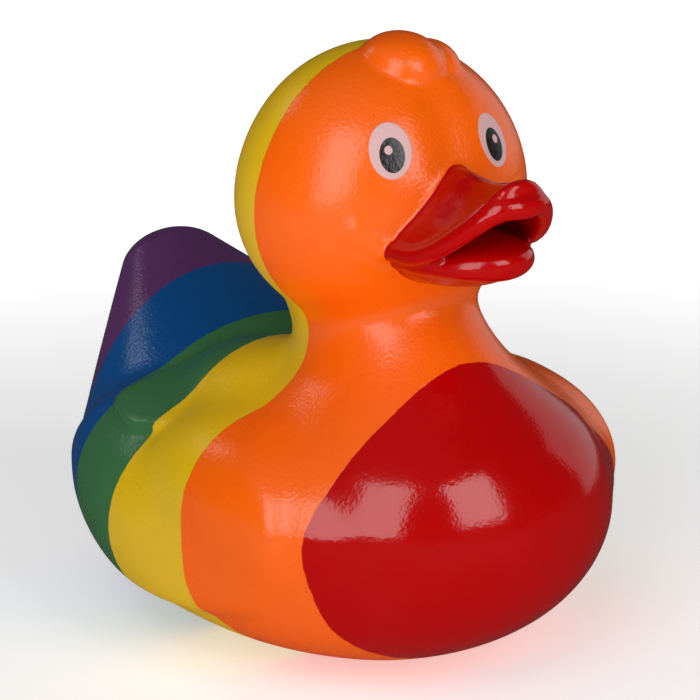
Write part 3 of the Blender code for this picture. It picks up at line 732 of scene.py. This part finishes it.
@dataclass(frozen=True)
class PaintLook:
    """Colours of the paints and of the bare vinyl, as linear light."""

    colours: tuple[tuple[Band, Point], ...] = (
        (Band.RED, (0.45, 0.0, 0.0)),
        (Band.ORANGE, (0.95, 0.125, 0.0)),
        (Band.YELLOW, (0.76, 0.47, 0.0)),
        (Band.GREEN, (0.044, 0.165, 0.058)),
        (Band.BLUE, (0.0, 0.070, 0.26)),
        (Band.VIOLET, (0.110, 0.030, 0.135)),
    )
    ior: float = 1.55
    gloss_roughness: float = 0.14
    coat_roughness: float = 0.24
    satin_roughness: float = 0.36
    coat_depth: float = 0.03 * MM
    peel_size: float = 0.45 * MM
    peel_depth: float = 0.05 * MM
    red_peel: float = 0.4
    ripple_size: float = 3.0 * MM
    ripple_depth: float = 0.04 * MM
    edge_wander: float = 0.16 * MM
    wander_size: float = 1.6 * MM
    smear_size: float = 7.0 * MM
    smear: float = 0.04
    speck: Point = (0.16, 0.02, 0.01)
    speck_spacing: float = 0.5 * MM
    speck_from: float = 0.87
    speck_full: float = 0.89
    speck_strength: float = 0.5

    def colour(self, band: Band) -> Point:
        """Gives a band's colour."""
        return dict(self.colours)[band]


@dataclass(frozen=True)
class PrintLook:
    """Colours of the eye print."""

    white: Point = (0.66, 0.40, 0.40)
    black: Point = (0.010, 0.008, 0.008)
    white_roughness: float = 0.5
    black_roughness: float = 0.24
    grain_size: float = 0.16 * MM
    grain_depth: float = 0.012 * MM


class Graph:
    """Lays out a material's nodes and links."""

    def __init__(self, material: bpy.types.Material) -> None:
        """Starts from an empty tree with one shader.

        Args:
            material: The material whose tree is laid out.
        """
        material.use_nodes = True
        self.tree = material.node_tree
        self.tree.nodes.clear()
        self.shader = self.tree.nodes.new("ShaderNodeBsdfPrincipled")
        output = self.tree.nodes.new("ShaderNodeOutputMaterial")
        self.tree.links.new(self.shader.outputs["BSDF"], output.inputs["Surface"])
        self.object_co = self.tree.nodes.new("ShaderNodeTexCoord").outputs["Object"]
        parts = self.tree.nodes.new("ShaderNodeSeparateXYZ")
        self.link(self.object_co, parts.inputs[0])
        self.x, self.y, self.z = parts.outputs

    def link(self, source: bpy.types.NodeSocket | float | Point, socket: bpy.types.NodeSocket) -> None:
        """Feeds a socket from another one, or sets its value.

        Args:
            source: A socket, a number or a colour.
            socket: The input that takes it.
        """
        if isinstance(source, bpy.types.NodeSocket):
            self.tree.links.new(source, socket)
        elif isinstance(source, tuple) and len(socket.default_value) == 4:
            socket.default_value = (*source, 1.0)
        else:
            socket.default_value = source

    def math(self, kind: str, a: bpy.types.NodeSocket | float, b: bpy.types.NodeSocket | float = 0.0,
             c: bpy.types.NodeSocket | float = 0.0) -> bpy.types.NodeSocket:
        """Adds a Math node.

        Args:
            kind: The operation.
            a: The first input.
            b: The second input.
            c: The third input.

        Returns:
            The result's socket.
        """
        node = self.tree.nodes.new("ShaderNodeMath")
        node.operation = kind
        for source, socket in zip((a, b, c), node.inputs):
            self.link(source, socket)
        return node.outputs[0]

    def ramp(self, value: bpy.types.NodeSocket, low: float, high: float, to_low: float = 0.0,
             to_high: float = 1.0) -> bpy.types.NodeSocket:
        """Maps a range of a value smoothly onto another range.

        Args:
            value: The value's socket.
            low: The range's low end.
            high: The range's high end.
            to_low: What the low end becomes.
            to_high: What the high end becomes.

        Returns:
            The result's socket.
        """
        node = self.tree.nodes.new("ShaderNodeMapRange")
        node.interpolation_type = "SMOOTHSTEP"
        for source, socket in zip((value, low, high, to_low, to_high), node.inputs):
            self.link(source, socket)
        return node.outputs[0]

    def mix(self, factor: bpy.types.NodeSocket, a: bpy.types.NodeSocket | Point,
            b: bpy.types.NodeSocket | Point) -> bpy.types.NodeSocket:
        """Mixes two colours.

        Args:
            factor: How much of the second colour shows.
            a: The first colour.
            b: The second colour.

        Returns:
            The mixed colour's socket.
        """
        node = self.tree.nodes.new("ShaderNodeMix")
        node.data_type = "RGBA"
        self.link(factor, node.inputs[0])
        self.link(a, node.inputs[6])
        self.link(b, node.inputs[7])
        return node.outputs[2]

    def noise(self, size: float, detail: float = 2.0, roughness: float = 0.5) -> bpy.types.NodeSocket:
        """Adds a noise over the object's own space.

        Args:
            size: The size of its lumps.
            detail: How many finer layers it has.
            roughness: How strong the finer layers are.

        Returns:
            The noise's socket, about 0.5 on average.
        """
        node = self.tree.nodes.new("ShaderNodeTexNoise")
        self.link(self.object_co, node.inputs["Vector"])
        node.inputs["Scale"].default_value = 1.0 / size
        node.inputs["Detail"].default_value = detail
        node.inputs["Roughness"].default_value = roughness
        return node.outputs[0]

    def bump(self, height: bpy.types.NodeSocket, distance: float,
             normal: bpy.types.NodeSocket | None = None) -> bpy.types.NodeSocket:
        """Adds relief to the surface.

        Args:
            height: The relief's height, 0 to 1.
            distance: The height's scale.
            normal: Relief that lies under this one.

        Returns:
            The normal's socket.
        """
        node = self.tree.nodes.new("ShaderNodeBump")
        node.inputs["Distance"].default_value = distance
        node.inputs["Strength"].default_value = 1.0
        self.link(height, node.inputs["Height"])
        if normal is not None:
            self.link(normal, node.inputs["Normal"])
        return node.outputs[0]


@dataclass(frozen=True)
class PaintedVinyl:
    """The duck's one finish: bare yellow vinyl, gloss bands over it and the printed eyes."""

    plan: BandPlan = BandPlan()
    look: PaintLook = PaintLook()
    ink: PrintLook = PrintLook()
    edge: float = 0.05 * MM
    bill_edge: float = 0.06
    print_edge: float = 0.015
    face_y: float = -14.0 * MM

    def band_masks(self, g: Graph) -> dict[Band, bpy.types.NodeSocket]:
        """Works out where each paint lies.

        Args:
            g: The graph that takes the nodes.

        Returns:
            A 0 to 1 mask for each painted band.
        """
        wander = g.math("MULTIPLY_ADD", g.noise(self.look.wander_size, 3.0, 0.6),
                        2.0 * self.look.edge_wander, -self.look.edge_wander)
        y = g.math("ADD", g.y, wander)
        body = g.ramp(g.z, self.plan.head_low_z + self.edge, self.plan.head_low_z - self.edge)
        chest = g.ramp(g.z, self.plan.chest_top_z + self.edge, self.plan.chest_top_z - self.edge)
        masks = {}
        starts = ((Band.GREEN, self.plan.yellow_to_green), (Band.BLUE, self.plan.green_to_blue),
                  (Band.VIOLET, self.plan.blue_to_violet))
        for band, start in starts:
            masks[band] = g.math("MULTIPLY", g.ramp(y, start - self.edge, start + self.edge), body)
        start = self.plan.orange_to_yellow
        masks[Band.ORANGE] = g.ramp(y, start + self.edge, start - self.edge)
        start = self.plan.red_to_orange
        red = g.math("MULTIPLY", g.ramp(y, start + self.edge, start - self.edge), chest)
        seam = g.tree.nodes.new("ShaderNodeAttribute")
        seam.attribute_name = "bill_seam"
        level = g.math("MULTIPLY_ADD", wander, 1.0 / MM, seam.outputs["Fac"])
        bill = g.ramp(level, self.bill_edge, -self.bill_edge)
        masks[Band.RED] = g.math("MAXIMUM", red, bill)
        return masks

    def eye_masks(self, g: Graph, eye: Eye,
                  depth: float) -> tuple[bpy.types.NodeSocket, bpy.types.NodeSocket]:
        """Works out where one eye's print lies.

        Args:
            g: The graph that takes the nodes.
            eye: The eye.
            depth: The y of the eye's middle.

        Returns:
            The mask of the whole print, and the mask of the pupil without its glint.
        """
        turn = math.radians(eye.turn)
        out = g.math("SUBTRACT", g.math("MULTIPLY", g.x, eye.side), eye.x)
        u = g.math("ADD", g.math("MULTIPLY", out, math.cos(turn)),
                   g.math("MULTIPLY", g.math("SUBTRACT", g.y, depth), math.sin(turn)))
        v = g.math("SUBTRACT", g.z, eye.z)

        def oval(right: float, rise: float, width: float, height: float) -> bpy.types.NodeSocket:
            """Masks an oval of the eye's plane."""
            a = g.math("MULTIPLY", g.math("SUBTRACT", u, right), 2.0 / width)
            b = g.math("MULTIPLY", g.math("SUBTRACT", v, rise), 2.0 / height)
            level = g.math("SQRT", g.math("ADD", g.math("MULTIPLY", a, a), g.math("MULTIPLY", b, b)))
            return g.ramp(level, 1.0 + self.print_edge, 1.0 - self.print_edge)

        front = g.math("LESS_THAN", g.y, self.face_y)
        whole = g.math("MULTIPLY", oval(0.0, 0.0, eye.width, eye.height), front)
        pupil = oval(-eye.pupil_in, -eye.pupil_drop, eye.pupil_width, eye.pupil_height)
        pupil = g.math("MULTIPLY", pupil, whole)
        glint = oval(eye.glint_out, eye.glint_up, eye.glint, eye.glint)
        return whole, g.math("MULTIPLY", pupil, g.math("SUBTRACT", 1.0, glint))

    def make(self, eyes: list[tuple[Eye, float]]) -> bpy.types.Material:
        """Makes the material.

        Args:
            eyes: The eyes, each with the y of its middle.

        Returns:
            The material.
        """
        material = bpy.data.materials.new("painted_vinyl")
        g = Graph(material)
        look = self.look
        masks = self.band_masks(g)
        colour = look.colour(Band.YELLOW)
        for band in (Band.GREEN, Band.BLUE, Band.VIOLET, Band.ORANGE, Band.RED):
            colour = g.mix(masks[band], colour, look.colour(band))
        painted = g.math("MAXIMUM", masks[Band.GREEN], masks[Band.ORANGE])
        painted = g.math("MAXIMUM", painted, masks[Band.RED])
        speck = g.ramp(g.noise(look.speck_spacing, 0.0), look.speck_from, look.speck_full)
        colour = g.mix(g.math("MULTIPLY", speck, look.speck_strength), colour, look.speck)
        prints = [self.eye_masks(g, eye, depth) for eye, depth in eyes]
        whole = g.math("MAXIMUM", prints[0][0], prints[1][0])
        pupil = g.math("MAXIMUM", prints[0][1], prints[1][1])
        colour = g.mix(whole, colour, self.ink.white)
        colour = g.mix(pupil, colour, self.ink.black)
        g.link(colour, g.shader.inputs["Base Color"])
        smear = g.math("MULTIPLY_ADD", g.noise(look.smear_size), 2.0 * look.smear, -look.smear)
        rough = g.ramp(painted, 0.0, 1.0, look.satin_roughness, look.coat_roughness)
        rough = g.ramp(masks[Band.RED], 0.0, 1.0, rough, look.gloss_roughness)
        rough = g.math("ADD", rough, smear)
        rough = g.math("MAXIMUM", rough, g.math("MULTIPLY", whole, self.ink.white_roughness))
        smoother = self.ink.white_roughness - self.ink.black_roughness
        rough = g.math("SUBTRACT", rough, g.math("MULTIPLY", pupil, smoother))
        g.link(rough, g.shader.inputs["Roughness"])
        ripple = g.bump(g.noise(look.ripple_size, 1.0), look.ripple_depth)
        peel = g.ramp(masks[Band.RED], 0.0, 1.0, 1.0, look.red_peel)
        peel = g.math("MULTIPLY", g.noise(look.peel_size, 1.0, 0.5), peel)
        peel = g.bump(peel, look.peel_depth, ripple)
        grain = g.math("MULTIPLY", g.noise(self.ink.grain_size, 0.0), whole)
        grain = g.bump(grain, self.ink.grain_depth, peel)
        step = g.math("ADD", painted, whole)
        g.link(g.bump(step, look.coat_depth, grain), g.shader.inputs["Normal"])
        g.shader.inputs["IOR"].default_value = look.ior
        return material


@dataclass
class Duck:
    """The whole moulding, from its masses to its finished skin."""

    hull: Hull = field(default_factory=Hull)
    head: Head = field(default_factory=Head)
    tuft: Tuft = field(default_factory=Tuft)
    bill: Bill = field(default_factory=Bill)
    left_eye: Eye = Eye(1.0, 7.15 * MM, 66.95 * MM)
    right_eye: Eye = Eye(-1.0, 7.9 * MM, 67.6 * MM)
    neck_blend: float = 11.0 * MM
    tuft_blend: float = 0.7 * MM
    bill_blend: float = 0.8 * MM
    base_round: float = 1.0 * MM
    vent_diameter: float = 3.0 * MM
    vent_depth: float = 6.0 * MM
    cell: float = 0.52 * MM

    def skin(self, p: np.ndarray) -> np.ndarray:
        """Measures how far points lie outside the duck without its bill.

        Args:
            p: Points as three rows.

        Returns:
            Distances, negative inside.
        """
        plain = blend(self.hull.distance(p), self.head.distance(p), self.neck_blend)
        return blend(plain, self.tuft.distance(p), self.tuft_blend)

    def outside(self, p: np.ndarray) -> np.ndarray:
        """Measures how far points lie outside the finished duck.

        Args:
            p: Points as three rows.

        Returns:
            Distances, negative inside.
        """
        return meet(blend(self.skin(p), self.bill.distance(p), self.bill_blend), -p[2], self.base_round)

    def mark_seam(self, item: bpy.types.Object) -> None:
        """Stores how far each point lies from the bill's paint edge, in millimetres.

        Args:
            item: The duck's object.
        """
        flat = np.empty(len(item.data.vertices) * 3)
        item.data.vertices.foreach_get("co", flat)
        p = flat.reshape(-1, 3).T
        level = (self.bill.distance(p) - self.skin(p)) / MM + 0.1
        ahead = (p[1] < self.head.skull.centre[1] - self.head.skull.radii[1]) & (p[2] > 44.0 * MM)
        level = np.clip(np.where(ahead, -4.0, level), -4.0, 4.0)
        seam = item.data.attributes.new("bill_seam", "FLOAT", "POINT")
        seam.data.foreach_set("value", level.astype(np.float32))

    def cut_vent(self, item: bpy.types.Object) -> None:
        """Sinks the small vent into the flat base.

        Args:
            item: The duck's object.
        """
        bm = bmesh.new()
        place = Matrix.Translation((self.hull.belly.centre[0], self.hull.belly.centre[1], 0.0))
        bmesh.ops.create_cone(bm, cap_ends=True, segments=48, radius1=self.vent_diameter / 2.0,
                              radius2=self.vent_diameter / 2.0, depth=2.0 * self.vent_depth, matrix=place)
        cutter = new_object("vent_tool", bm)
        cut = item.modifiers.new("vent", "BOOLEAN")
        cut.operation = "DIFFERENCE"
        cut.solver = "EXACT"
        cut.object = cutter
        apply_modifiers(item)
        bpy.data.objects.remove(cutter, do_unlink=True)

    def build(self) -> bpy.types.Object:
        """Builds the skin.

        Returns:
            The duck's object.
        """
        bm = bmesh.new()
        for mass in self.hull.masses() + self.head.masses() + self.tuft.masses():
            mass.add_to(bm)
        self.bill.add_to(bm)
        item = new_object("painted_duck", bm)
        mesher = Mesher(self.outside, self.cell)
        mesher.fuse(item)
        mesher.draw_on(item, 4)
        mesher.relax(item, 2)
        left = mesher.draw_on(item, 5)
        log.info("skin of %d points, %.4f mm off its field", len(item.data.vertices), left / MM)
        for vert in item.data.vertices:
            if vert.co.z < 0.05 * MM:
                vert.co.z = 0.0
        self.mark_seam(item)
        self.cut_vent(item)
        item.data.shade_smooth()
        return item

    def dress(self, item: bpy.types.Object) -> None:
        """Gives the duck its finish and its place in the frame.

        Args:
            item: The duck's object.
        """
        item.data.materials.clear()
        eyes = [(eye, eye.depth(self.head)) for eye in (self.left_eye, self.right_eye)]
        item.data.materials.append(PaintedVinyl().make(eyes))
        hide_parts("duck_body")
        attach(item, "root")


@dataclass(frozen=True)
class Softbox:
    """A square studio light that faces the duck; a fill is not mirrored in the gloss."""

    name: str
    azimuth: float
    elevation: float
    distance: float
    width: float
    height: float
    radiance: float
    mirrored: bool = True

    def place(self, target: Vector) -> bpy.types.Object:
        """Sets the light up.

        Args:
            target: What it faces.

        Returns:
            The light's object.
        """
        light = bpy.data.lights.new(self.name, "AREA")
        light.shape = "RECTANGLE"
        light.size, light.size_y = self.width, self.height
        light.energy = self.radiance * math.pi * self.width * self.height
        item = bpy.data.objects.new(self.name, light)
        item.visible_glossy = self.mirrored
        back = direction(self.azimuth, self.elevation)
        item.location = target + back * self.distance
        item.rotation_euler = back.to_track_quat("Z", "Y").to_euler()
        bpy.context.scene.collection.objects.link(item)
        return item


def direction(azimuth: float, elevation: float) -> Vector:
    """Gives the direction from the duck to a place round it.

    Args:
        azimuth: Degrees from the front, positive to the duck's left.
        elevation: Degrees above the horizon.

    Returns:
        The unit vector.
    """
    a, e = math.radians(azimuth), math.radians(elevation)
    return Vector((math.sin(a) * math.cos(e), -math.cos(a) * math.cos(e), math.sin(e)))


@dataclass(frozen=True)
class PhotoCamera:
    """The camera at the photograph's angle."""

    azimuth: float = -35.54
    elevation: float = 17.63
    distance: float = 400.9 * MM
    lens: float = 160.6
    target: Point = (1.34 * MM, -2.46 * MM, 35.75 * MM)

    def place(self) -> bpy.types.Object:
        """Sets the camera up as the scene's own.

        Returns:
            The camera's object.
        """
        data = bpy.data.cameras.new("photo_camera")
        data.lens, data.sensor_width = self.lens, 36.0
        data.clip_start, data.clip_end = 0.01, 20.0
        item = bpy.data.objects.new("photo_camera", data)
        back = direction(self.azimuth, self.elevation)
        item.location = Vector(self.target) + back * self.distance
        item.rotation_euler = back.to_track_quat("Z", "Y").to_euler()
        bpy.context.scene.collection.objects.link(item)
        bpy.context.scene.camera = item
        return item


@dataclass(frozen=True)
class Studio:
    """Pale floor that glows as painted light, three softboxes, a card on the right, a fill and a dim white
    room.
    """

    floor_size: float = 4.0
    floor_colour: Point = (0.86, 0.86, 0.86)
    near_glow: float = 0.47
    far_glow: float = 1.15
    glow_from: float = 70.0 * MM
    glow_to: float = 260.0 * MM
    aim: Point = mm(0.0, -10.0, 40.0)
    room: float = 0.04
    lights: tuple[Softbox, ...] = (
        Softbox("softbox_right", -56.0, 29.0, 0.60, 0.30, 0.54, 2.9),
        Softbox("softbox_front", 4.0, 31.0, 0.60, 0.29, 0.42, 3.1),
        Softbox("softbox_back", -158.0, 36.0, 0.70, 0.09, 0.13, 2.6),
        Softbox("white_card", 100.0, 14.0, 0.90, 0.70, 0.60, 0.5),
        Softbox("top_fill", -70.0, 64.0, 1.00, 1.30, 1.00, 0.62, mirrored=False),
    )

    def floor(self) -> bpy.types.Object:
        """Lays the floor, which glows as painted light: dimmer near the duck, brighter further out.

        Returns:
            The floor's object.
        """
        bm = bmesh.new()
        bmesh.ops.create_grid(bm, x_segments=1, y_segments=1, size=self.floor_size / 2.0)
        item = new_object("floor", bm)
        item.location.z = -0.05 * MM
        material = bpy.data.materials.new("pale_floor")
        g = Graph(material)
        g.link(self.floor_colour, g.shader.inputs["Base Color"])
        g.shader.inputs["Roughness"].default_value = 0.7
        g.shader.inputs["Specular IOR Level"].default_value = 0.1
        # Painted light: the floor glows, dimmer near the duck and brighter further out, and so lights the
        # duck from below.
        g.link(self.floor_colour, g.shader.inputs["Emission Color"])
        away = g.tree.nodes.new("ShaderNodeVectorMath")
        away.operation = "LENGTH"
        g.link(g.object_co, away.inputs[0])
        glow = g.ramp(away.outputs["Value"], self.glow_from, self.glow_to, self.near_glow, self.far_glow)
        g.link(glow, g.shader.inputs["Emission Strength"])
        item.data.materials.append(material)
        item.visible_glossy = False
        return item

    def build(self) -> None:
        """Sets up floor, lights and the room's own light."""
        self.floor()
        for light in self.lights:
            light.place(Vector(self.aim))
        world = bpy.data.worlds.new("white_room")
        bpy.context.scene.world = world
        world.use_nodes = True
        background = world.node_tree.nodes["Background"]
        background.inputs["Color"].default_value = (1.0, 1.0, 1.0, 1.0)
        background.inputs["Strength"].default_value = self.room
        bpy.context.scene.view_settings.view_transform = "Standard"


def main() -> None:
    """Builds the duck, its studio and the camera."""
    logging.basicConfig(level=logging.INFO, format="%(message)s")
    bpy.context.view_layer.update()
    PhotoCamera().place()
    Studio().build()
    duck = Duck()
    item = duck.build()
    duck.dress(item)
    log.info("%s: %d faces", item.name, len(item.data.polygons))


if __name__ == "__main__":
    main()
